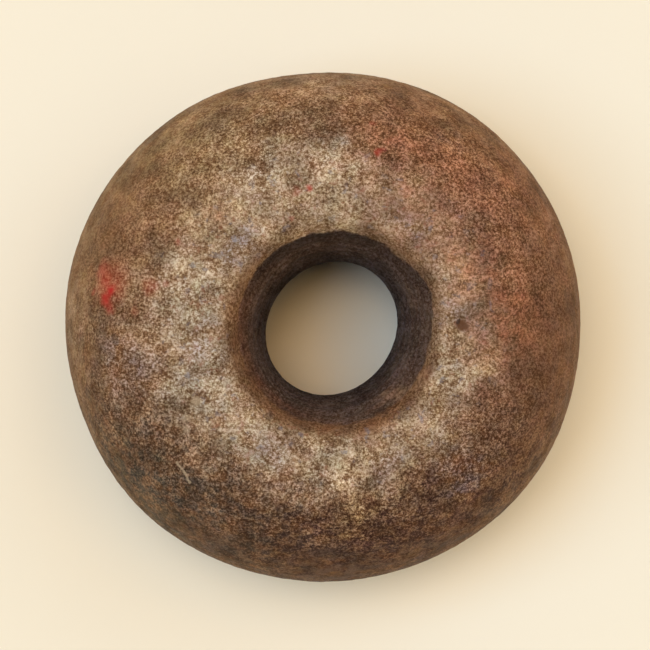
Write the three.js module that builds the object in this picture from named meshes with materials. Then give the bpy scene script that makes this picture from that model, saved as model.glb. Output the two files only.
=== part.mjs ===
// Stone spindle whorl: a thick ring of pecked and ground stone, one solid piece.
// The hole for the spindle was drilled from both faces, so it narrows to a waist inside, and its two
// mouths are worn round. The whorl lies on the worn flat of its underside. Millimetres, +Z up, with the
// origin at the bottom centre of the stone.
import * as THREE from 'three';

// Overall form
const girthDiameter = 42.0;
const height = 22.6;
const girthShare = 0.49; // height of the widest ring, as a share of the stone's height

// Spindle hole
const waistDiameter = 10.8;
const waistShare = 0.5; // height of the narrowest ring, as a share of the stone's height
const waistReach = 0.45; // share of each wall that stays nearly as narrow as the waist
const upperMouthDiameter = 15.4;
const lowerMouthDiameter = 15.0;

// Worn lips between the mouths and the flatter tops of the two faces
const upperLipWidth = 2.8;
const upperLipDepth = 1.9;
const lowerLipWidth = 3.1;
const lowerLipDepth = 2.0;
const lipFullness = 0.62; // share of the lip's width that is almost level

// Worn flats: the pale ring round the upper mouth, and the one that the stone rests on
const crestFlatWidth = 0.9;
const restFlatWidth = 2.4;

// What the hand left uneven: the girth, the drilling and the faces
const girthOval = 0.12; // how far the girth's radius swells along X and shrinks along Y
const girthCorners = 0.1; // how far four faint corners stand out between flatter sides
const girthCornersTurn = THREE.MathUtils.degToRad(51);
const waistOval = 0.26; // the waist is longer across one diagonal
const waistOvalTurn = THREE.MathUtils.degToRad(50);
const upperMouthShift = new THREE.Vector2(0.88, -0.14); // the hole lies off the stone's centre,
const waistShift = new THREE.Vector2(0.65, -0.15); // and its two cones
const lowerMouthShift = new THREE.Vector2(0.3, 0.05); // meet a little out of line
const faceTilt = 0.18; // one side of the stone is this much thicker than the middle
const faceTiltTurn = THREE.MathUtils.degToRad(205);
const lumpHeight = 0.09; // broad lumps that grinding left
const lumpsAround = 5;
const lumpTwist = 0.5; // radians that the lumps lean round the stone for each mm of height
const lumpSwells = 2; // times round the stone that the lumps grow and fade

// Facets
const facetsAround = 96;
const facetLength = 1.5; // along the section

const girthRadius = girthDiameter / 2;
const girthHeight = height * girthShare;
const waistRadius = waistDiameter / 2;
const waistHeight = height * waistShare;
const upperMouthRadius = upperMouthDiameter / 2;
const upperMouthHeight = height - upperLipDepth;
const lowerMouthRadius = lowerMouthDiameter / 2;
const lowerMouthHeight = lowerLipDepth;
const crestInnerRadius = upperMouthRadius + upperLipWidth;
const crestOuterRadius = crestInnerRadius + crestFlatWidth;
const restInnerRadius = lowerMouthRadius + lowerLipWidth;
const restOuterRadius = restInnerRadius + restFlatWidth;

// The stone's section, to the right of the axis, as a ring of stretches that runs from the waist down
// the lower wall, out along the underside, up the outside and back down the upper wall.
function sectionStretches() {
  const point = (radius, level) => new THREE.Vector2(radius, level);
  const waist = point(waistRadius, waistHeight);
  const lowerMouth = point(lowerMouthRadius, lowerMouthHeight);
  const upperMouth = point(upperMouthRadius, upperMouthHeight);

  // The wall leaves the waist straight along the axis and flares towards its mouth.
  const flareStart = (mouth) =>
    point(waistRadius, THREE.MathUtils.lerp(waistHeight, mouth.y, waistReach));
  // The lip carries the wall's slope on past the mouth, and lies level where it meets the face.
  const lipTurn = (mouth, faceLevel) => {
    const slope = mouth.clone().sub(flareStart(mouth));
    return mouth.clone().addScaledVector(slope, (faceLevel - mouth.y) / slope.y);
  };
  const lipEnd = (radius, level, width) => point(radius - width * lipFullness, level);
  const shoulder = (innerRadius, depth, fromDegrees, toDegrees) =>
    new THREE.EllipseCurve(
      innerRadius,
      girthHeight,
      girthRadius - innerRadius,
      depth,
      THREE.MathUtils.degToRad(fromDegrees),
      THREE.MathUtils.degToRad(toDegrees),
    );

  return [
    new THREE.QuadraticBezierCurve(waist, flareStart(lowerMouth), lowerMouth),
    new THREE.CubicBezierCurve(
      lowerMouth,
      lipTurn(lowerMouth, 0),
      lipEnd(restInnerRadius, 0, lowerLipWidth),
      point(restInnerRadius, 0),
    ),
    new THREE.LineCurve(point(restInnerRadius, 0), point(restOuterRadius, 0)),
    shoulder(restOuterRadius, girthHeight, -90, 0),
    shoulder(crestOuterRadius, height - girthHeight, 0, 90),
    new THREE.LineCurve(point(crestOuterRadius, height), point(crestInnerRadius, height)),
    new THREE.CubicBezierCurve(
      point(crestInnerRadius, height),
      lipEnd(crestInnerRadius, height, upperLipWidth),
      lipTurn(upperMouth, height),
      upperMouth,
    ),
    new THREE.QuadraticBezierCurve(upperMouth, flareStart(upperMouth), waist),
  ];
}

// The section's points, evenly spaced along each stretch, the last one on the first.
function sectionPoints() {
  const points = sectionStretches().flatMap((stretch) => {
    const steps = Math.max(1, Math.round(stretch.getLength() / facetLength));
    return stretch.getSpacedPoints(steps).slice(0, steps);
  });
  return [...points, points[0].clone()];
}

// How far the hole's middle lies off the stone's axis at a height.
function holeShiftAt(level) {
  const above = level > waistHeight;
  const mouthHeight = above ? upperMouthHeight : lowerMouthHeight;
  const mouthShift = above ? upperMouthShift : lowerMouthShift;
  const share = THREE.MathUtils.clamp((level - waistHeight) / (mouthHeight - waistHeight), 0, 1);
  return waistShift.clone().lerp(mouthShift, share);
}

// Moves one point of the even ring to where the hand-shaped stone has it. The underside's flat and
// all that lies level with it keep their height, so the stone rests on a true plane.
function unevenPoint(even) {
  const radius = Math.hypot(even.x, even.y);
  const angle = Math.atan2(even.y, even.x);
  const outwards = THREE.MathUtils.smoothstep(radius, waistRadius, girthRadius);
  const lift = THREE.MathUtils.smoothstep(even.z, 0, girthHeight);

  const girthSwell =
    girthOval * Math.cos(2 * angle) + girthCorners * Math.cos(4 * (angle - girthCornersTurn));
  const waistSwell = waistOval * Math.cos(2 * (angle - waistOvalTurn));
  const lump =
    lumpHeight * lift * Math.sin(lumpsAround * angle + lumpTwist * even.z) * Math.cos(lumpSwells * angle);
  const newRadius = radius + (girthSwell + lump) * outwards + waistSwell * (1 - outwards);

  const shift = holeShiftAt(even.z).multiplyScalar(1 - outwards);
  const thicker = faceTilt * Math.cos(angle - faceTiltTurn) * (even.z / height) * lift;
  return new THREE.Vector3(
    newRadius * Math.cos(angle) + shift.x,
    newRadius * Math.sin(angle) + shift.y,
    even.z + thicker + lump * (even.z / height),
  );
}

function whorlGeometry() {
  const geometry = new THREE.LatheGeometry(sectionPoints(), facetsAround).rotateX(Math.PI / 2);
  const position = geometry.getAttribute('position');
  const point = new THREE.Vector3();
  for (let i = 0; i < position.count; i += 1) {
    point.fromBufferAttribute(position, i);
    position.setXYZ(i, ...unevenPoint(point));
  }
  // The origin goes to the bottom centre of the finished stone.
  geometry.computeBoundingBox();
  const middle = geometry.boundingBox.getCenter(new THREE.Vector3());
  geometry.translate(-middle.x, -middle.y, -geometry.boundingBox.min.z);
  geometry.computeVertexNormals();
  return geometry;
}

// Brown speckled stone, dull on the outside and rubbed smooth.
const stone = new THREE.MeshStandardMaterial({ color: 0x846550, roughness: 0.7, metalness: 0 });

const whorl = new THREE.Mesh(whorlGeometry(), stone);
whorl.name = 'stone_whorl';

const group = new THREE.Group();
group.add(whorl);

export default group;
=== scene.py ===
import math
import random
from types import SimpleNamespace

import bmesh
import bpy
from bpy.props import FloatProperty, FloatVectorProperty, IntProperty, PointerProperty
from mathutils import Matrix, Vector, kdtree, noise
from mathutils.bvhtree import BVHTree


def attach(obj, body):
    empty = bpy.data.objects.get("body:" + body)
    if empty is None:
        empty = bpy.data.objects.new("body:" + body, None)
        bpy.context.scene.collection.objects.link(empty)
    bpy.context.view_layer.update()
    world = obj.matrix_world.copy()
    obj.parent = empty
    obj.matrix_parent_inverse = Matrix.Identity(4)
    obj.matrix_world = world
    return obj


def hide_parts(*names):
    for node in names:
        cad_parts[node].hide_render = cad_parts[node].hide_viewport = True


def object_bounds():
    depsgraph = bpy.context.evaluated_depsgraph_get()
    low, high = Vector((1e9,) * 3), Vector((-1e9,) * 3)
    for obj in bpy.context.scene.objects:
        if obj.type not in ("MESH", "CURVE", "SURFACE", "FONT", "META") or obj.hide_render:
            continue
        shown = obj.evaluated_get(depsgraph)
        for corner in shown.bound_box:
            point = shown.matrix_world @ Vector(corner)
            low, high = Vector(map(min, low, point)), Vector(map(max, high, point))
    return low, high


bl_info = {
    "name": "Stone spindle whorl",
    "version": (1, 0, 0),
    "blender": (4, 5, 0),
    "location": "View3D > Sidebar > Whorl",
    "description": "Dresses a drilled stone spindle whorl with pecked relief, stains and pigment",
    "category": "Object",
}

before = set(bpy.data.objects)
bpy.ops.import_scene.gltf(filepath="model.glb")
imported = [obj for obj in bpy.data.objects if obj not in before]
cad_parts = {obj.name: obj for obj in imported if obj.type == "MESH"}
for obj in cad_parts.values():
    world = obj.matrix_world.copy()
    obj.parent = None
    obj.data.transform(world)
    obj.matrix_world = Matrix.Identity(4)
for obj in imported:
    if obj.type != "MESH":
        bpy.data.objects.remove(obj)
cad_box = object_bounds()

MM = 0.001
STONE_NODE = "stone_whorl"


def linear(hex_colour):
    """The linear red, green and blue of an sRGB hex colour."""
    channels = [int(hex_colour[i:i + 2], 16) / 255 for i in (0, 2, 4)]
    return [c / 12.92 if c <= 0.04045 else ((c + 0.055) / 1.055) ** 2.4 for c in channels]


def paint(hex_colour, name, description):
    """A colour setting whose default is an sRGB hex colour."""
    return FloatVectorProperty(
        name=name,
        description=description,
        subtype="COLOR",
        size=3,
        min=0.0,
        max=1.0,
        default=linear(hex_colour),
    )


def length(millimetres, name, description):
    """A length setting whose default is given in millimetres."""
    return FloatProperty(
        name=name,
        description=description,
        unit="LENGTH",
        precision=5,
        min=0.0,
        default=millimetres * MM,
    )


# Sizes and colours that a user may change


class WhorlReliefSettings(bpy.types.PropertyGroup):
    """Sizes of the relief that is cut into the stone's mesh."""

    mesh_spacing: length(0.28, "Mesh spacing", "Distance between the points of the fine mesh")
    wave_width: length(6.5, "Grinding wave width", "Width of the broad waves that grinding left")
    wave_depth: length(0.05, "Grinding wave depth", "Depth of the broad waves that grinding left")
    peck_width: length(1.15, "Peck width", "Width of the dimples that pecking left")
    peck_depth: length(0.045, "Peck depth", "Depth of the dimples that pecking left")
    grain_width: length(0.5, "Grain width", "Width of the grains that stand out of the surface")
    grain_depth: length(0.03, "Grain depth", "Height of the grains that stand out of the surface")
    drill_pitch: length(1.3, "Drill score pitch", "Distance between the rings scored in the hole")
    drill_depth: length(0.05, "Drill score depth", "Depth of the rings scored in the hole")
    pit_count: IntProperty(
        name="Pits",
        description="Number of small pits where grains fell out",
        min=0,
        default=420,
    )
    pit_width: length(0.75, "Pit width", "Width of the largest small pit")
    pit_depth: length(0.13, "Pit depth", "Depth of the largest small pit")


class WhorlStoneColours(bpy.types.PropertyGroup):
    """Colours of the stone, its wear, its stains and its pigment."""

    body: paint("705136", "Stone", "Brown body of the stone")
    olive: paint("785E3E", "Olive", "Olive tan film at the upper left and round the girth")
    red_brown: paint("72452B", "Red brown", "Reddish stain at the upper right")
    russet: paint("5E3E29", "Russet", "Duller red brown at the right")
    rust: paint("82492C", "Rust", "Rust-coloured stain")
    dark: paint("341B13", "Dark stain", "Dark brown stain with a purple cast")
    dark_olive: paint("362E24", "Dark olive stain", "Dark olive brown stain at the lower left")
    # Partly dirt and partly painted shade: the lower girth is painted darker towards the bottom.
    dirt_and_shade: paint("4E392B", "Dirt film", "Smooth brown film of dirt on the lower girth")
    # Soot also serves as painted shade: the nearly black film on the hole's upper wall, where the
    # lamps cannot reach.
    soot_and_shade: paint("29201B", "Soot", "Nearly black stain")
    worn: paint("90785C", "Worn ring", "Grey cream where hands and yarn rubbed the stone")
    pale: paint("9D8B70", "Palest wear", "Paler grey of the most worn patches")
    lavender: paint("6E6768", "Lavender wear", "Cool grey of some worn patches")
    ochre: paint("A17D4E", "Ochre", "Golden film beside the worn ring")
    lip: paint("77573A", "Lip", "Brown of the lip between the worn ring and the hole")
    rim_film: paint("5A3B24", "Rim film", "Rusty film on the rim of the hole")
    bore: paint("4B3A30", "Hole wall", "Grey brown of the drilled wall")
    wall_rust: paint("5C3922", "Wall rust", "Rusty film on the drilled wall")
    grain_shade: paint("9E8871", "Grain shade", "What the darkest grains multiply the stone by")
    # Painted highlights: bright flecks where light glints on the stone, and along the edge of the
    # first scratch.
    painted_glint: paint("B3A184", "Bruises", "Bright stone where a blow took the skin off")
    speck_blue: paint("68676D", "Blue specks", "Sparse cool mineral specks")
    speck_brick: paint("7E4430", "Brick specks", "Sparse red mineral specks")
    pigment: paint("9C211B", "Red pigment", "Red earth pigment rubbed into the stone")


class WhorlStageSettings(bpy.types.PropertyGroup):
    """The floor, the lights and the camera."""

    paper: paint("E9E2CA", "Paper", "Pale cream of the floor")
    wall: paint("FFF7DE", "Walls", "Colour of the pale walls far behind the floor")
    glow: paint("FFE9C8", "Lit walls", "Colour of the lit upper part of the walls")
    ceiling: paint("0C0B0A", "Ceiling", "Colour of the dark ceiling")
    left_light: paint("B2D5FF", "Left light", "Colour of the steep soft light at the left")
    right_light: paint("F9FFFD", "Right light", "Colour of the faint steep light at the right")
    corner_light: paint("FFC67C", "Corner light", "Colour of the high warm light, upper right")
    high_light: paint("B9D9FF", "High light", "Colour of the high cool light, upper left")
    top_light: paint("FFD392", "Top light", "Colour of the warm light almost straight above")
    window_light: paint("B2D5FF", "Window light", "Colour of the low broad light, upper right")
    view_width: length(53.03, "View width", "Width of the camera's view at the stone's girth")
    camera_height: length(450.0, "Camera height", "Height of the camera above the stone's girth")


# Small helpers


def add_node(tree, kind, inputs=None, **settings):
    """Adds one node with its own settings, and feeds its sockets with values or links."""
    added = tree.nodes.new(kind)
    for name, value in settings.items():
        setattr(added, name, value)
    for socket, value in (inputs or {}).items():
        if isinstance(value, bpy.types.NodeSocket):
            tree.links.new(value, added.inputs[socket])
        else:
            added.inputs[socket].default_value = value
    return added


def opaque(colour):
    """A colour setting as the four numbers that a colour socket takes."""
    return (*colour, 1.0)


def laid_over(tree, colour, layers):
    """A colour with layers over it, each a share and a colour, from the lowest to the highest."""
    for share, cover in layers:
        sides = {0: share, 6: colour, 7: opaque(cover)}
        colour = add_node(tree, "ShaderNodeMix", sides, data_type="RGBA").outputs[2]
    return colour


def shown(tree, value, none_at, full_at, strength, *breaks, least=0.0):
    """How strongly a thing shows as a value runs from none_at to full_at, broken up by patterns."""
    span = {
        "Value": value,
        "From Min": none_at,
        "From Max": full_at,
        "To Min": least,
        "To Max": strength,
    }
    share = add_node(
        tree, "ShaderNodeMapRange", span, interpolation_type="SMOOTHSTEP"
    ).outputs[0]
    for pattern in breaks:
        both = {0: share, 1: pattern}
        share = add_node(tree, "ShaderNodeMath", both, operation="MULTIPLY").outputs[0]
    return share


def smooth(value, low, high):
    """Rises smoothly from 0 at low to 1 at high."""
    share = min(max((value - low) / (high - low), 0.0), 1.0)
    return share * share * (3 - 2 * share)


# The stone's mesh

RELIEF_SEED = 7
FORM_LEVELS = 2  # subdivisions that round the faceted solid
SMOOTHING_PASSES = 8  # passes that take the steps out of the remeshed form
TRIANGLE_LIMIT = 200_000

MOUTH_CENTRE = Vector((0.92, -0.04, 0.0)) * MM
MOUTH_RADIUS = 7.8 * MM
HEIGHT = cad_box[1][2] - cad_box[0][2]

# Marks of use on the upper face, each at its place in the plan, seen from above
PIT_PLACE = (11.1, 0.1)
PIT_WIDTH = 1.0 * MM
PIT_DEPTH = 0.28 * MM
CHIP_PLACE = (-4.4, -7.1)
CHIP_WIDTH = 1.3 * MM
CHIP_DEPTH = 0.3 * MM
SCRATCHES = (
    # start and end in millimetres
    ((-11.5, -10.9), (-10.6, -12.3)),
    ((-11.7, -11.2), (-10.8, -12.7)),
    ((12.9, 4.6), (14.0, 6.0)),
)
SCRATCH_WIDTH = 0.3 * MM
SCRATCH_DEPTH = 0.07 * MM
SCRATCH_STEPS = 12
SCRATCH_OVERLAP = 3  # dents that overlap at each place along a scratch

# How the relief changes from place to place
RIM_BLEND = (-1.2 * MM, 0.6 * MM)  # either side of the mouth, where the wall's relief takes over
PECK_EDGE = 0.75  # where a dimple ends, as a share of the distance between dimples
PECK_WEAR = (-0.3, 0.4)  # values of the noise at which pecking is worn most and least
PECK_LEFT = 0.35  # share of its depth that pecking keeps where it is worn most
PECK_IN_HOLE = 0.4  # share of its depth that pecking has inside the hole
SMALLEST_PIT = 0.35  # as a share of the largest small pit


def smoothed_form(node):
    """A mesh of the CAD solid with its facets rounded off."""
    form = bmesh.new()
    form.from_mesh(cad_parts[node].data)
    bmesh.ops.remove_doubles(form, verts=form.verts, dist=0.001 * MM)
    bmesh.ops.join_triangles(
        form,
        faces=form.faces,
        angle_face_threshold=math.radians(30),
        angle_shape_threshold=math.radians(60),
    )
    mesh = bpy.data.meshes.new("smoothed_form")
    form.to_mesh(mesh)
    form.free()
    holder = bpy.data.objects.new("smoothed_form", mesh)
    bpy.context.scene.collection.objects.link(holder)
    rounding = holder.modifiers.new("round_facets", "SUBSURF")
    rounding.levels = FORM_LEVELS
    rounding.render_levels = FORM_LEVELS
    return apply_modifiers(holder)


def apply_modifiers(holder):
    """Gives an object the mesh that its modifiers make, and takes the modifiers off."""
    evaluated = holder.evaluated_get(bpy.context.evaluated_depsgraph_get())
    made = bpy.data.meshes.new_from_object(evaluated)
    holder.modifiers.clear()
    rough = holder.data
    holder.data = made
    bpy.data.meshes.remove(rough)
    return holder


def even_mesh(form, spacing):
    """A copy of the form with points at an even spacing all over it."""
    piece = bpy.data.objects.new("whorl_stone", form.data.copy())
    bpy.context.scene.collection.objects.link(piece)
    remesh = piece.modifiers.new("even_points", "REMESH")
    remesh.mode = "VOXEL"
    remesh.voxel_size = spacing
    relax = piece.modifiers.new("relax", "SMOOTH")
    relax.iterations = SMOOTHING_PASSES
    fit = piece.modifiers.new("fit_to_form", "SHRINKWRAP")
    fit.target = form
    fit.wrap_method = "NEAREST_SURFACEPOINT"
    return apply_modifiers(piece)


def surface_point(form_tree, place):
    """The point of the upper face at a place given in millimetres on the plan."""
    above = Vector((place[0] * MM, place[1] * MM, 2 * HEIGHT))
    return form_tree.ray_cast(above, Vector((0, 0, -1)))[0]


def dent(depths, tree, centre, width, depth):
    """Adds a round dent to the points near a centre."""
    for _, index, distance in tree.find_range(centre, width / 2):
        depths[index] += depth * (1 - smooth(distance, 0.0, width / 2))


def relief_depths(mesh, form_tree, sizes):
    """How far each point of the mesh sinks below the even form, in metres."""
    points = kdtree.KDTree(len(mesh.vertices))
    depths = []
    for vertex in mesh.vertices:
        place = vertex.co
        points.insert(place, vertex.index)
        from_hole = (place - MOUTH_CENTRE).xy.length
        inside = 1 - smooth(from_hole - MOUTH_RADIUS, *RIM_BLEND)
        wave = noise.noise(place / sizes.wave_width) * sizes.wave_depth
        cell = noise.voronoi(place / sizes.peck_width)[0][0]
        unworn = smooth(noise.noise(place / (3 * sizes.peck_width)), *PECK_WEAR)
        left = (PECK_LEFT + (1 - PECK_LEFT) * unworn) * (1 - (1 - PECK_IN_HOLE) * inside)
        peck = sizes.peck_depth * (1 - smooth(cell, 0.0, PECK_EDGE)) * left
        grain = noise.noise(place / sizes.grain_width) * sizes.grain_depth
        ring = place.z / sizes.drill_pitch + noise.noise(place / (4 * sizes.drill_pitch))
        score = sizes.drill_depth * inside * math.sin(2 * math.pi * ring)
        depths.append(wave + peck + grain + score)
    points.balance()

    draw = random.Random(RELIEF_SEED)
    for _ in range(sizes.pit_count):
        centre = mesh.vertices[draw.randrange(len(mesh.vertices))].co
        share = draw.uniform(SMALLEST_PIT, 1.0)
        dent(depths, points, centre, sizes.pit_width * share, sizes.pit_depth * share)
    dent(depths, points, surface_point(form_tree, PIT_PLACE), PIT_WIDTH, PIT_DEPTH)
    dent(depths, points, surface_point(form_tree, CHIP_PLACE), CHIP_WIDTH, CHIP_DEPTH)
    for start, end in SCRATCHES:
        for step in range(SCRATCH_STEPS + 1):
            place = surface_point(form_tree, Vector(start).lerp(Vector(end), step / SCRATCH_STEPS))
            dent(depths, points, place, SCRATCH_WIDTH, SCRATCH_DEPTH / SCRATCH_OVERLAP)
    return depths


def carve_relief(piece, form, sizes):
    """Sinks the relief into the mesh, and keeps the underside on the floor's plane."""
    form_mesh = form.data
    form_tree = BVHTree.FromPolygons(
        [v.co for v in form_mesh.vertices], [p.vertices for p in form_mesh.polygons]
    )
    mesh = piece.data
    depths = relief_depths(mesh, form_tree, sizes)
    normals = [vertex.normal.copy() for vertex in mesh.vertices]
    for vertex, normal, depth in zip(mesh.vertices, normals, depths):
        vertex.co -= normal * depth
        vertex.co.z = max(vertex.co.z, 0.0)
    mesh.update()
    mesh.shade_smooth()
    return form_tree


# Stains and marks on the stone, in the order in which they lie on one another. Each has the name of
# its colour, its x and y on the plan of the upper face and its reach in millimetres, and its strength

BROAD_STAINS = (
    ("olive", -13.0, 12.0, 13.0, 0.8),
    ("red_brown", 12.0, 12.0, 12.0, 0.8),
    ("red_brown", -15.5, 7.5, 6.0, 0.4),
    ("russet", 18.5, -1.0, 11.0, 0.95),
    ("russet", 18.5, 9.0, 7.0, 0.6),
    ("dark", 13.0, -15.0, 12.0, 1.3),
    # This dark stain at the bottom of the girth is partly painted shade.
    ("dark", 1.0, -19.5, 13.0, 1.7),
    ("dark_olive", -14.0, -14.5, 12.5, 1.6),
    ("worn", 0.5, 20.2, 4.6, 0.3),
    ("olive", 11.6, 16.2, 5.0, 0.35),
    ("worn", -20.2, 0.0, 3.2, 0.4),
)

STAINS = (
    ("pale", -10.2, 2.2, 3.4, 0.85),
    ("pale", -9.2, -4.0, 3.2, 0.85),
    ("pale", -5.6, -9.4, 2.6, 0.4),
    ("pale", 0.6, -9.8, 3.0, 0.85),
    ("pale", 1.4, 10.8, 3.6, 0.8),
    ("pale", -5.0, 12.0, 2.2, 0.6),
    ("pale", 10.0, -2.4, 2.8, 0.75),
    ("lavender", -9.4, -1.4, 2.2, 0.4),
    ("lavender", -16.2, -2.8, 3.4, 0.2),
    ("lavender", 11.4, -11.6, 2.4, 0.15),
    ("lavender", 12.2, -0.8, 1.6, 0.3),
    ("lavender", -6.6, 6.4, 2.0, 0.55),
    ("lavender", 10.6, 1.0, 1.8, 0.5),
    ("lavender", 6.4, 8.2, 2.0, 0.5),
    ("lavender", -3.6, -9.6, 2.0, 0.5),
    ("lavender", 4.6, -11.0, 1.8, 0.4),
    ("ochre", 1.4, 10.8, 2.8, 0.35),
    ("ochre", -2.6, -9.4, 2.0, 0.3),
    ("ochre", 1.6, -10.8, 2.4, 0.25),
    ("ochre", 5.0, -12.2, 2.8, 0.2),
    ("ochre", 2.2, -14.6, 2.0, 0.35),
    ("ochre", -8.6, 9.2, 2.4, 0.3),
    ("ochre", 11.6, -2.0, 2.0, 0.35),
    ("red_brown", 8.2, 9.6, 5.6, 0.6),
    ("rust", 14.0, 1.0, 4.6, 0.5),
    ("rust", 12.4, 5.4, 2.8, 0.5),
    ("rust", 4.6, 14.4, 3.0, 0.4),
    ("rust", 12.6, -5.6, 2.4, 0.3),
    ("rust", -8.8, 9.2, 0.9, 0.5),
    # The films on the lower girth are partly dirt and partly painted shade, darker towards the
    # bottom.
    ("dirt_and_shade", 1.0, -19.4, 4.6, 0.8),
    ("dirt_and_shade", -9.4, -17.2, 3.8, 0.6),
    ("dirt_and_shade", 10.4, -16.6, 3.8, 0.5),
    ("soot_and_shade", -10.4, 7.4, 1.8, 0.55),
    ("soot_and_shade", -7.6, 10.0, 1.8, 0.4),
    ("soot_and_shade", -15.0, 9.6, 3.0, 0.3),
    ("soot_and_shade", -17.0, -1.1, 2.6, 0.5),
    ("soot_and_shade", -12.9, -4.8, 2.4, 0.4),
    ("soot_and_shade", -8.8, -7.8, 2.6, 0.45),
    ("soot_and_shade", -13.8, -8.4, 3.2, 0.3),
    ("soot_and_shade", -7.8, -12.4, 2.8, 0.45),
    ("soot_and_shade", -10.9, -14.1, 3.6, 0.4),
    ("soot_and_shade", -3.6, -15.2, 3.8, 0.7),
    ("soot_and_shade", 6.4, -14.6, 3.0, 0.45),
    ("soot_and_shade", 5.2, -18.0, 2.8, 0.4),
    ("soot_and_shade", 11.4, -10.6, 3.6, 0.45),
    ("soot_and_shade", 14.6, -6.0, 2.8, 0.4),
    ("soot_and_shade", 5.6, -7.9, 1.8, 0.35),
    ("soot_and_shade", -7.6, -5.2, 1.6, 0.35),
    ("soot_and_shade", 3.4, -12.8, 2.0, 0.45),
    ("soot_and_shade", 0.2, 15.0, 2.6, 0.6),
    ("soot_and_shade", 10.0, 15.2, 2.6, 0.5),
    ("soot_and_shade", -5.2, 17.6, 2.4, 0.35),
    ("soot_and_shade", 4.8, 17.6, 2.2, 0.35),
    ("soot_and_shade", 13.2, 10.2, 2.6, 0.35),
)

# Films round the hole, from the lowest to the highest: the colour's name, the distances from the
# mouth's middle at which the film begins and is full, and its strengths by direction in degrees
HOLE_FILMS = (
    (
        "lip",
        (9.6, 8.5),
        ((0, 0.35), (30, 0.3), (60, 0.25), (120, 0.1), (150, 0.5), (180, 0.6), (210, 0.6))
        + ((240, 0.7), (270, 0.5), (300, 1.0), (330, 0.45)),
    ),
    (
        "rim_film",
        (8.9, 8.2),
        ((0, 0.35), (30, 0.5), (60, 0.1), (150, 0.55), (180, 0.75), (210, 0.7))
        + ((240, 0.75), (270, 0.75), (300, 0.85), (330, 0.7)),
    ),
)
WALL_FILMS = (
    ("wall_rust", (8.0, 7.4), ((150, 0.3), (175, 0.5), (200, 0.6), (225, 0.6), (250, 0.4))),
    # This film, in the colour of soot, is painted shade on the upper wall from 35 to 160 degrees,
    # where the lamps cannot reach.
    ("soot_and_shade", (7.8, 7.5), ((35, 0.3), (60, 0.5), (85, 0.75), (110, 0.8), (135, 0.7), (160, 0.35))),
)
FILM_RADIUS = 8.0  # how far from the mouth's middle each direction has its centre
FILM_REACH = 4.2
FILM_FULLNESS = 1.15

# Marks on the rim and the wall of the hole, laid over their films
WALL_STAINS = (
    ("rim_film", -5.7, -4.2, 1.4, 0.6),
    ("rim_film", -7.0, -1.2, 1.2, 0.5),
    ("rim_film", 0.4, -8.3, 1.8, 0.7),
    ("rim_film", 3.4, -8.3, 1.4, 0.6),
    ("lip", 5.6, -5.6, 2.2, 0.4),
    ("lip", 7.2, 2.6, 1.4, 0.3),
    ("soot_and_shade", 6.4, -6.6, 1.2, 0.6),
    ("soot_and_shade", -2.6, -7.0, 1.4, 0.5),
)

# Small marks with firm edges: dark marks, some in the pit and at the chip, and bright flecks that are
# painted highlights
MARKS = (
    ("rim_film", 11.1, 0.1, 0.6, 0.95),
    ("soot_and_shade", 10.9, 0.4, 0.3, 0.7),
    ("soot_and_shade", -16.6, -1.0, 0.6, 0.5),
    ("soot_and_shade", -4.2, -7.0, 0.5, 0.5),
    # The bright flecks below are painted highlights.
    ("painted_glint", -10.9, -7.2, 0.5, 0.35),
    ("painted_glint", -10.8, -8.1, 0.4, 0.3),
    ("painted_glint", -10.1, -5.9, 0.5, 0.4),
)

# Stains that lie in the hollows between the grains
SUNK_STAINS = ("dark", "dark_olive", "soot_and_shade")

# Dabs of red pigment: x and y in millimetres, reach in millimetres, strength
DABS = (
    (-17.0, 3.5, 2.6, 0.45),
    (-17.6, 4.7, 1.1, 0.35),
    (-17.3, 3.8, 0.9, 0.4),
    (-16.9, 2.9, 0.75, 1.0),
    (-17.4, 2.2, 0.9, 0.95),
    (-17.0, 1.5, 0.8, 0.5),
    (-18.4, 2.8, 0.5, 0.4),
    (-14.9, 1.3, 0.6, 0.25),
    (-13.7, 3.2, 1.1, 0.35),
    (-12.5, 3.5, 0.4, 0.3),
    (-11.5, 6.8, 0.45, 0.4),
    (-2.1, 10.7, 0.6, 0.35),
    (-1.1, 11.1, 0.45, 0.8),
    (-2.5, 8.7, 0.35, 0.4),
    (3.9, 16.3, 0.4, 0.3),
    (4.4, 13.9, 0.5, 1.0),
    (4.8, 14.1, 0.4, 0.4),
)

# Edges, as shares of the reach: where a colour begins to show and where it shows fully
STAIN_SPREAD = 1.3
STAIN_CORE = 0.2
DAB_CORE = 0.15
MARK_CORE = 0.5
# A painted highlight along the edge of the first scratch, where it glints.
SCRATCH_GLINT = (8, 0.2, 0.45)  # of the first scratch: number of marks, reach and strength

# How far edges wander, over what width, and the octaves of the noise that pushes them
STAIN_WANDER = 2.6
STAIN_WANDER_WIDTH = 2.2
FRAY = 0.35
FRAY_WIDTH = 0.8
EDGE_OCTAVES = 4.0

# Distances on the stone, in millimetres
WORN_CENTRE = (0.2, 0.6, 0.0)
WORN_RING_INNER = 11.0
WORN_RING_OUTER = 16.0
WORN_RING_STRENGTH = 0.95
GIRTH_FILM_START = 19.0
GIRTH_FILM_FULL = 21.5
GIRTH_FILM_STRENGTH = 0.2
WALL_OUTER = 7.85
WALL_INNER = 7.6
RIM_BREAK = ((8.2, 2.8), 3.6, 0.5)  # where the rim broke back, its reach and how far it broke back
RIM_HEIGHT = 20.5
GRAIN_FADE_START = 17.0
GRAIN_FADE_END = 20.5
# Where a film hides the grains: its place, its reach and how far it does
GRAIN_FILMS = (
    ((-16.0, 11.0), 11.0, 0.45),
    ((17.0, -1.0), 8.0, 0.35),
    ((1.0, -19.8), 5.0, 0.5),
)

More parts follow.
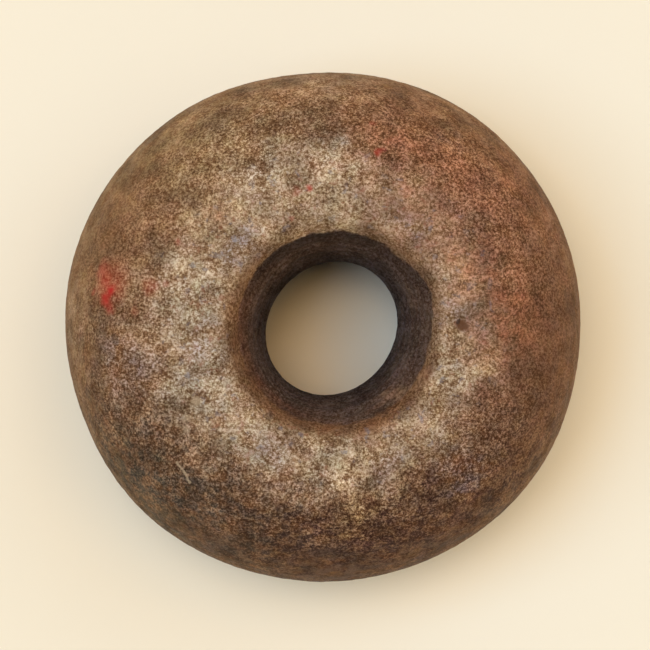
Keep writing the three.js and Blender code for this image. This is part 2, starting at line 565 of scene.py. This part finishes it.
# Strengths
DRILLED_STRENGTH = 0.95
WALL_DRAW = 0.5  # how far the patterns on the drilled wall are drawn out along the hole
BLOTCH_RANGE = (0.25, 0.75)  # values of the noise where the stone is darkest and lightest
BLOTCH_CONTRAST = 0.42
TINT_STRENGTHS = (0.17, 0.17, 0.32)  # how far the red, the green and the blue shift
GRAIN_CLUMPING = 0.2  # share of the mottling in the grains
MOTTLE_GRAIN = 0.4  # share of the grains in the mottling
GRAIN_RANGE = (0.66, 0.28)  # values of the pattern that lighten and that darken the stone fully
GRAIN_LIGHTENING = 0.7  # of a light grain, as a share of how far a dark one darkens
GRAIN_STRENGTHS = (1.2, 0.72, 0.45)  # on plain stone, on the worn ring and, as a share, at the girth

# Noise in the stone: its name, width in millimetres, octaves and roughness
NOISES = (
    ("grains", 0.23, 2.0, 0.9),
    ("mottle", 1.4, 4.0, 0.5),
    ("crust", 0.8, 4.0, 0.6),
    ("blotches", 2.4, 3.0, 0.5),
    ("tint", 1.1, 2.0, 0.5),
)

# Patterns that break up what lies on the stone: the noise, its values where the pattern is least
# and full, and its least share
BREAKS = {
    "patchy": ("mottle", 0.4, 0.56, 0.0),
    "cloudy": ("mottle", 0.38, 0.6, 0.5),
    "sunken": ("grains", 0.64, 0.42, 0.4),  # full in the hollows between the grains
    "crusty": ("crust", 0.42, 0.56, 0.4),
}

# The surface
STONE_IOR = 1.54
STONE_ROUGHNESS = 0.72
STONE_SPECULAR = 0.12  # below the usual half, because dust in the grain takes the gloss off
ROUGHER = 0.12  # where the stone is plain
SMOOTHER = 0.08  # where it is rubbed
BUMP_STRENGTH = 0.5
BUMP_HEIGHT = 0.06 * MM  # of the finest grains, which are too fine for the mesh

# Sparse mineral specks: colour, width in millimetres, value of the noise where they show, strength
SPECKS = (
    ("speck_blue", 0.75, 0.59, 0.6),
    ("speck_brick", 0.7, 0.6, 0.45),
)
SPECK_OCTAVES = 3.0
SPECK_EDGE = 0.1  # of the noise, over which a speck comes to its full strength
SPECK_FULL = 9.0  # distance from the mouth's middle, in millimetres, where specks are full


def distance_from(tree, place, centre, on_plan=False):
    """The distance of a place from a centre, in space or on the plan alone."""
    if on_plan:
        plan = {0: place, 1: (1.0, 1.0, 0.0)}
        place = add_node(tree, "ShaderNodeVectorMath", plan, operation="MULTIPLY").outputs[0]
    ends = {0: place, 1: tuple(centre)}
    return add_node(tree, "ShaderNodeVectorMath", ends, operation="DISTANCE").outputs["Value"]


def pushed(tree, place, width, distance):
    """A place pushed about at random, for ragged edges."""
    waves = {"Vector": place, "Scale": 1 / width, "Detail": EDGE_OCTAVES}
    push = add_node(tree, "ShaderNodeTexNoise", waves).outputs["Color"]
    middle = {0: push, 1: (0.5, 0.5, 0.5)}
    push = add_node(tree, "ShaderNodeVectorMath", middle, operation="SUBTRACT").outputs[0]
    reach = {0: push, 1: (distance * 2,) * 3, 2: place}
    return add_node(tree, "ShaderNodeVectorMath", reach, operation="MULTIPLY_ADD").outputs[0]


def drawn_along_hole(tree, place, on_wall):
    """A place whose patterns are drawn out along the hole where on_wall is 1."""
    rim = {0: place, 1: (0.0, 0.0, RIM_HEIGHT)}
    below_rim = add_node(tree, "ShaderNodeVectorMath", rim, operation="SUBTRACT").outputs[0]
    lift = {0: below_rim, 1: (0.0, 0.0, -WALL_DRAW)}
    lift = add_node(tree, "ShaderNodeVectorMath", lift, operation="MULTIPLY").outputs[0]
    lift = {0: lift, "Scale": on_wall}
    lift = add_node(tree, "ShaderNodeVectorMath", lift, operation="SCALE").outputs[0]
    return add_node(tree, "ShaderNodeVectorMath", {0: lift, 1: place}, operation="ADD").outputs[0]


def stone_fields(tree, form_tree):
    """The places, distances and patterns that the stone's colours follow, all in millimetres."""
    fields = SimpleNamespace()
    coordinates = add_node(tree, "ShaderNodeTexCoord").outputs["Object"]
    place = add_node(
        tree, "ShaderNodeVectorMath", {0: coordinates, "Scale": 1 / MM}, operation="SCALE"
    ).outputs[0]
    fields.ragged = pushed(tree, place, STAIN_WANDER_WIDTH, STAIN_WANDER)
    fields.frayed = pushed(tree, place, FRAY_WIDTH, FRAY)

    # Distances on the plan from the middle of the worn ring, and from the middle of the mouth, whose
    # rim is broken back at one place
    fields.from_ring = distance_from(tree, fields.ragged, WORN_CENTRE, on_plan=True)
    from_mouth = distance_from(tree, fields.frayed, MOUTH_CENTRE / MM, on_plan=True)
    break_place, break_reach, broken_back = RIM_BREAK
    from_break = distance_from(tree, fields.frayed, surface_point(form_tree, break_place) / MM)
    broken = shown(tree, from_break, break_reach, 0.0, broken_back)
    fields.from_mouth = add_node(
        tree, "ShaderNodeMath", {0: from_mouth, 1: broken}, operation="SUBTRACT"
    ).outputs[0]

    # Noise, drawn out along the hole on its wall. The grains take on some of the mottling, and the
    # mottling is broken up by the grains
    on_wall = shown(tree, fields.from_mouth, WALL_OUTER, WALL_INNER, 1.0)
    drawn = drawn_along_hole(tree, place, on_wall)
    for name, width, octaves, roughness in NOISES:
        waves = {"Vector": drawn, "Scale": 1 / width, "Detail": octaves, "Roughness": roughness}
        noise_node = add_node(tree, "ShaderNodeTexNoise", waves)
        setattr(fields, name, noise_node.outputs["Color" if name == "tint" else "Fac"])
    clumped = {0: GRAIN_CLUMPING, 2: fields.grains, 3: fields.mottle}
    fields.grains = add_node(tree, "ShaderNodeMix", clumped).outputs[0]
    grainy = {0: MOTTLE_GRAIN, 2: fields.mottle, 3: fields.grains}
    fields.mottle = add_node(tree, "ShaderNodeMix", grainy).outputs[0]

    for name, (source, least_at, full_at, least) in BREAKS.items():
        span = {
            "Value": getattr(fields, source),
            "From Min": least_at,
            "From Max": full_at,
            "To Min": least,
        }
        setattr(fields, name, add_node(tree, "ShaderNodeMapRange", span).outputs[0])
    return fields


def patches(tree, form_tree, fields, colours, stains, pattern):
    """Stains with ragged edges, each as its share and its colour."""
    layers = []
    for paint_name, x, y, reach, strength in stains:
        from_stain = distance_from(tree, fields.ragged, surface_point(form_tree, (x, y)) / MM)
        sunk = (fields.sunken, fields.crusty) if paint_name in SUNK_STAINS else ()
        edges = (reach * STAIN_SPREAD, reach * STAIN_CORE)
        share = shown(tree, from_stain, *edges, strength, pattern, *sunk)
        layers.append((share, getattr(colours, paint_name)))
    return layers


def hole_films(tree, form_tree, fields, colours, films):
    """Films round the hole, each as its share and its colour."""
    layers = []
    for paint_name, (none_at, full_at), strengths in films:
        within = shown(tree, fields.from_mouth, none_at, full_at, FILM_FULLNESS, fields.cloudy)
        for turn, strength in strengths:
            angle = math.radians(turn)
            toward = Vector((math.cos(angle), math.sin(angle), 0.0))
            centre = surface_point(form_tree, MOUTH_CENTRE / MM + FILM_RADIUS * toward) / MM
            away = distance_from(tree, fields.frayed, centre)
            share = shown(tree, away, FILM_REACH, FILM_REACH * STAIN_CORE, strength, within)
            layers.append((share, getattr(colours, paint_name)))
    return layers


def specks(tree, fields, colours, worn_ring):
    """Sparse mineral specks that show where the stone is worn, each as its share and its colour."""
    off_wall = shown(tree, fields.from_mouth, MOUTH_RADIUS / MM, SPECK_FULL, 1.0)
    layers = []
    for paint_name, width, threshold, strength in SPECKS:
        waves = {"Vector": fields.frayed, "Scale": 1 / width, "Detail": SPECK_OCTAVES}
        speckle = add_node(tree, "ShaderNodeTexNoise", waves).outputs["Fac"]
        full_at = threshold + SPECK_EDGE
        share = shown(tree, speckle, threshold, full_at, strength, worn_ring, off_wall)
        layers.append((share, getattr(colours, paint_name)))
    return layers


def small_marks(tree, form_tree, fields, colours):
    """Dabs of pigment, dark marks and painted highlights, each as its share and its colour."""
    layers = []
    for x, y, reach, strength in DABS:
        from_dab = distance_from(tree, fields.frayed, surface_point(form_tree, (x, y)) / MM)
        share = shown(tree, from_dab, reach, reach * DAB_CORE, strength, fields.cloudy)
        layers.append((share, colours.pigment))
    start, end = (Vector(place) for place in SCRATCHES[0])
    count, edge_reach, edge_strength = SCRATCH_GLINT
    along = [start.lerp(end, step / (count - 1)) for step in range(count)]
    # Painted highlights along the edge of the first scratch.
    scratch_glint = [("painted_glint", *place, edge_reach, edge_strength) for place in along]
    for paint_name, x, y, reach, strength in (*MARKS, *scratch_glint):
        from_mark = distance_from(tree, fields.frayed, surface_point(form_tree, (x, y)) / MM)
        share = shown(tree, from_mark, reach, reach * MARK_CORE, strength)
        layers.append((share, getattr(colours, paint_name)))
    return layers


def soft_shades(tree, fields):
    """Blotches of lighter and darker stone, and small shifts of hue from films of clay and iron."""
    span = {
        "Value": fields.blotches,
        "From Min": BLOTCH_RANGE[0],
        "From Max": BLOTCH_RANGE[1],
        "To Min": 1 - BLOTCH_CONTRAST,
        "To Max": 1 + BLOTCH_CONTRAST,
    }
    blotches = add_node(tree, "ShaderNodeMapRange", span).outputs[0]
    lowest = tuple(1 - strength / 2 for strength in TINT_STRENGTHS)
    shift = {0: fields.tint, 1: TINT_STRENGTHS, 2: lowest}
    tint = add_node(tree, "ShaderNodeVectorMath", shift, operation="MULTIPLY_ADD").outputs[0]
    return [blotches, tint]


def grain_shade(tree, form_tree, fields, colours, worn_ring):
    """Mineral grains, light and dark, fainter on the worn ring and where films cover them."""
    span = {"Value": worn_ring, "To Min": GRAIN_STRENGTHS[0], "To Max": GRAIN_STRENGTHS[1]}
    strength = add_node(tree, "ShaderNodeMapRange", span).outputs[0]
    fades = [(fields.from_ring, GRAIN_FADE_END, GRAIN_FADE_START, GRAIN_STRENGTHS[2])]
    for film_place, film_reach, hidden in GRAIN_FILMS:
        centre = surface_point(form_tree, film_place) / MM
        from_film = distance_from(tree, fields.ragged, centre)
        fades.append((from_film, 0.0, film_reach, 1 - hidden))
    for value, faint_at, plain_at, least in fades:
        span = {"Value": value, "From Min": faint_at, "From Max": plain_at, "To Min": least}
        left = add_node(tree, "ShaderNodeMapRange", span).outputs[0]
        both = {0: strength, 1: left}
        strength = add_node(tree, "ShaderNodeMath", both, operation="MULTIPLY").outputs[0]

    power = shown(tree, fields.grains, *GRAIN_RANGE, 1.0, least=-GRAIN_LIGHTENING)
    power = add_node(tree, "ShaderNodeMath", {0: power, 1: strength}, operation="MULTIPLY").outputs[0]
    darkest = {"Color": opaque(colours.grain_shade), "Gamma": power}
    return add_node(tree, "ShaderNodeGamma", darkest).outputs[0]


def ground_speckled_stone(form_tree, colours):
    """Fine-grained speckled stone, pecked to shape, ground and rubbed by hands and yarn.

    To the eye it is dull brown with fine light and dark grains, paler and a little smoother where it
    was rubbed, darker where dirt and soot stayed, and nearly black inside the hole. Painted shade
    darkens the bottom of the girth and the hole's upper wall, and painted highlights brighten a few
    flecks and the edge of a scratch.
    """
    material = bpy.data.materials.new("ground_speckled_stone")
    material.use_nodes = True
    tree = material.node_tree
    tree.nodes.clear()
    fields = stone_fields(tree, form_tree)

    # Layers of colour on the body, from the lowest to the highest
    ring_edges = (WORN_RING_OUTER, WORN_RING_INNER)
    worn_ring = shown(tree, fields.from_ring, *ring_edges, WORN_RING_STRENGTH, fields.cloudy)
    girth_edges = (GIRTH_FILM_START, GIRTH_FILM_FULL)
    girth_film = shown(tree, fields.from_ring, *girth_edges, GIRTH_FILM_STRENGTH)
    drilled = shown(tree, fields.from_mouth, WALL_OUTER, WALL_INNER, DRILLED_STRENGTH)
    layers = [
        *patches(tree, form_tree, fields, colours, BROAD_STAINS, fields.cloudy),
        (girth_film, colours.olive),
        (worn_ring, colours.worn),
        *patches(tree, form_tree, fields, colours, STAINS, fields.patchy),
        *hole_films(tree, form_tree, fields, colours, HOLE_FILMS),
        (drilled, colours.bore),
        # These wall films include painted shade, nearly black, on the hole's upper wall.
        *hole_films(tree, form_tree, fields, colours, WALL_FILMS),
        *patches(tree, form_tree, fields, colours, WALL_STAINS, fields.patchy),
    ]
    colour = laid_over(tree, opaque(colours.body), layers)

    # Light and dark within the stone, which the layers take on, and small marks over all of it
    grains = grain_shade(tree, form_tree, fields, colours, worn_ring)
    for shade in (*soft_shades(tree, fields), grains):
        sides = {0: 1.0, 6: colour, 7: shade}
        colour = add_node(
            tree, "ShaderNodeMix", sides, data_type="RGBA", blend_type="MULTIPLY"
        ).outputs[2]
    colour = laid_over(tree, colour, specks(tree, fields, colours, worn_ring))
    colour = laid_over(tree, colour, small_marks(tree, form_tree, fields, colours))

    span = {
        "Value": fields.patchy,
        "To Min": STONE_ROUGHNESS + ROUGHER,
        "To Max": STONE_ROUGHNESS - SMOOTHER,
    }
    roughness = add_node(tree, "ShaderNodeMapRange", span).outputs[0]
    relief = {"Height": fields.grains, "Strength": BUMP_STRENGTH, "Distance": BUMP_HEIGHT}
    bump = add_node(tree, "ShaderNodeBump", relief).outputs[0]
    surface = add_node(
        tree,
        "ShaderNodeBsdfPrincipled",
        {
            "Base Color": colour,
            "Roughness": roughness,
            "Normal": bump,
            "IOR": STONE_IOR,
            "Specular IOR Level": STONE_SPECULAR,
        },
    )
    add_node(tree, "ShaderNodeOutputMaterial", {"Surface": surface.outputs[0]})
    return material


# The stage

FLOOR_SIDE = 60.0
FIBRE_WIDTH = 9 * MM
FIBRE_SHADE = 0.985  # how dark the paper is between its fibres
PAPER_ROUGHNESS = 0.85
SUBJECT_HEIGHT = 11.0 * MM
VIEW_CENTRE = (0.18 * MM, 0.18 * MM)
SENSOR_WIDTH = 36.0
WALL_STRENGTH = 1.0
GLOW_STRENGTH = 1.53
GLOW_RISE = (0.15, 0.3)  # sines of the elevations between which the lit part of the walls begins
CEILING_RISE = (0.55, 0.65)  # and between which the walls give way to the ceiling
LAMPS = (
    # colour setting and name, strength, width, azimuth and elevation in degrees
    ("left_light", 1.26, 32, 180, 62),
    ("right_light", 0.23, 32, 0, 62),
    ("corner_light", 0.51, 24, 45, 74),
    ("high_light", 0.77, 24, 135, 74),
    ("top_light", 0.6, 18, 135, 82),
    ("window_light", 0.63, 50, 45, 40),
)


def laid_paper(colour):
    """Thick cream paper, laid flat. It gives an even, matt ground with hardly any grain."""
    material = bpy.data.materials.new("laid_paper")
    material.use_nodes = True
    tree = material.node_tree
    tree.nodes.clear()
    place = add_node(tree, "ShaderNodeTexCoord").outputs["Object"]
    waves = {"Vector": place, "Scale": 1 / FIBRE_WIDTH}
    fibres = add_node(tree, "ShaderNodeTexNoise", waves).outputs["Fac"]
    span = {"Value": fibres, "To Min": FIBRE_SHADE}
    shade = add_node(tree, "ShaderNodeMapRange", span).outputs[0]
    sides = {0: 1.0, 6: opaque(colour), 7: shade}
    colour = add_node(
        tree, "ShaderNodeMix", sides, data_type="RGBA", blend_type="MULTIPLY"
    ).outputs[2]
    matt = {"Base Color": colour, "Roughness": PAPER_ROUGHNESS}
    surface = add_node(tree, "ShaderNodeBsdfPrincipled", matt)
    add_node(tree, "ShaderNodeOutputMaterial", {"Surface": surface.outputs[0]})
    return material


def soft_light(name, colour, strength, width, azimuth, elevation):
    """A far soft light. Its width, azimuth and elevation are in degrees."""
    lamp = bpy.data.lights.new(name, "SUN")
    lamp.angle = math.radians(width)
    lamp.energy = strength
    lamp.color = colour
    holder = bpy.data.objects.new(name, lamp)
    turn, rise = math.radians(azimuth), math.radians(elevation)
    direction = Vector(
        (math.cos(rise) * math.cos(turn), math.cos(rise) * math.sin(turn), math.sin(rise))
    )
    holder.location = direction
    holder.rotation_euler = direction.to_track_quat("Z", "Y").to_euler()
    bpy.context.scene.collection.objects.link(holder)


def surround(wall, glow, ceiling):
    """A room far away: pale walls that are brightest half way up, below a dark ceiling."""
    world = bpy.data.worlds.new("pale_studio")
    world.use_nodes = True
    tree = world.node_tree
    tree.nodes.clear()
    direction = add_node(tree, "ShaderNodeTexCoord").outputs["Generated"]
    rise = add_node(tree, "ShaderNodeSeparateXYZ", {0: direction}).outputs["Z"]
    lit = shown(tree, rise, *GLOW_RISE, 1.0)
    above = shown(tree, rise, *CEILING_RISE, 1.0)
    span = {"Value": lit, "To Min": WALL_STRENGTH, "To Max": GLOW_STRENGTH}
    strength = add_node(tree, "ShaderNodeMapRange", span).outputs[0]
    colour = laid_over(tree, opaque(wall), [(lit, glow), (above, ceiling)])
    light = add_node(tree, "ShaderNodeBackground", {"Color": colour, "Strength": strength})
    add_node(tree, "ShaderNodeOutputWorld", {"Surface": light.outputs[0]})
    bpy.context.scene.world = world


def overhead_camera(view_width, height):
    """A camera that looks straight down on the stone."""
    lens = bpy.data.cameras.new("overhead_camera")
    lens.sensor_width = SENSOR_WIDTH
    lens.lens = SENSOR_WIDTH * height / view_width
    lens.clip_start = 0.01
    lens.clip_end = 20.0
    camera = bpy.data.objects.new("overhead_camera", lens)
    camera.location = (*VIEW_CENTRE, SUBJECT_HEIGHT + height)
    bpy.context.scene.collection.objects.link(camera)
    bpy.context.scene.camera = camera


# Operators


class WHORL_OT_stone(bpy.types.Operator):
    """Builds the whorl's stone with its relief and its stains"""

    bl_idname = "whorl.stone"
    bl_label = "Build the stone"

    def execute(self, context):
        sizes = context.scene.whorl_relief
        form = smoothed_form(STONE_NODE)
        piece = even_mesh(form, sizes.mesh_spacing)
        form_tree = carve_relief(piece, form, sizes)
        bpy.data.objects.remove(form)
        triangles = sum(len(face.vertices) - 2 for face in piece.data.polygons)
        if triangles >= TRIANGLE_LIMIT:
            raise RuntimeError(f"the stone has {triangles} triangles: raise the mesh spacing")
        piece.data.materials.clear()
        piece.data.materials.append(ground_speckled_stone(form_tree, context.scene.whorl_colours))
        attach(piece, "root")
        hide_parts(STONE_NODE)
        return {"FINISHED"}


class WHORL_OT_stage(bpy.types.Operator):
    """Lays the floor, and sets the lights and the camera"""

    bl_idname = "whorl.stage"
    bl_label = "Set the stage"

    def execute(self, context):
        stage = context.scene.whorl_stage
        bpy.ops.mesh.primitive_plane_add(size=FLOOR_SIDE)
        floor = context.object
        floor.name = "floor"
        floor.data.materials.append(laid_paper(stage.paper))
        for name, strength, width, azimuth, elevation in LAMPS:
            soft_light(name, getattr(stage, name), strength, width, azimuth, elevation)
        overhead_camera(stage.view_width, stage.camera_height)
        surround(stage.wall, stage.glow, stage.ceiling)
        context.scene.view_settings.view_transform = "Standard"
        return {"FINISHED"}


class VIEW3D_PT_whorl(bpy.types.Panel):
    """Lists the steps that build the whorl, and its settings"""

    bl_label = "Spindle whorl"
    bl_space_type = "VIEW_3D"
    bl_region_type = "UI"
    bl_category = "Whorl"

    def draw(self, context):
        for operator in OPERATORS:
            self.layout.operator(operator.bl_idname)
        for name, group in SETTINGS.items():
            box = self.layout.box()
            box.label(text=group.__doc__)
            for setting in group.__annotations__:
                box.prop(getattr(context.scene, name), setting)


OPERATORS = (WHORL_OT_stone, WHORL_OT_stage)
SETTINGS = {
    "whorl_relief": WhorlReliefSettings,
    "whorl_colours": WhorlStoneColours,
    "whorl_stage": WhorlStageSettings,
}
CLASSES = (*SETTINGS.values(), *OPERATORS, VIEW3D_PT_whorl)


def register():
    for cls in CLASSES:
        bpy.utils.register_class(cls)
    for name, group in SETTINGS.items():
        setattr(bpy.types.Scene, name, PointerProperty(type=group))


def unregister():
    for name in SETTINGS:
        delattr(bpy.types.Scene, name)
    for cls in reversed(CLASSES):
        bpy.utils.unregister_class(cls)


def main():
    register()
    bpy.ops.whorl.stone()
    bpy.ops.whorl.stage()


if __name__ == "__main__":
    main()
